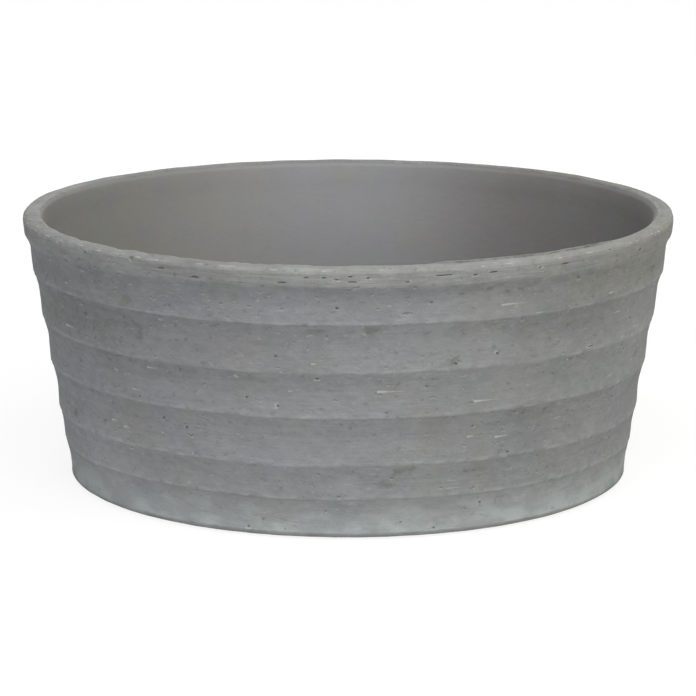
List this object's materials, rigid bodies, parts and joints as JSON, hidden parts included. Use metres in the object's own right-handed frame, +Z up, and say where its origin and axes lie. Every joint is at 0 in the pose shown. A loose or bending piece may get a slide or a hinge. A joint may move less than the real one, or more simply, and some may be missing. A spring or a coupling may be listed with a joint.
{
  "type": "bowl planter",
  "caption": "Round bowl planter of grey stone with hand-turned bands and a rolled lip, a rubber plug in its drain hole, and rubber pads under its foot.",
  "frame": {"origin": "centre of the bowl, on the surface that its pads stand on", "axes": "+Z up along the axis that the bowl was turned about; +X and +Y level, halfway between the pads"},
  "size_m": [0.3994, 0.3994, 0.165],
  "materials": {
    "stone": "matte",
    "rubber": "matte"
  },
  "bodies": {
    "bowl": {"bowl": "stone", "pad_1": "rubber", "pad_2": "rubber", "pad_3": "rubber", "pad_4": "rubber"},
    "drain_plug": {"drain_plug": "rubber"}
  },
  "joints": [
    {"name": "drain_plug_pull", "type": "slide", "parent": "bowl", "child": "drain_plug", "axis": [0, 0, 1], "range_m": [0, 0.18]}
  ]
}
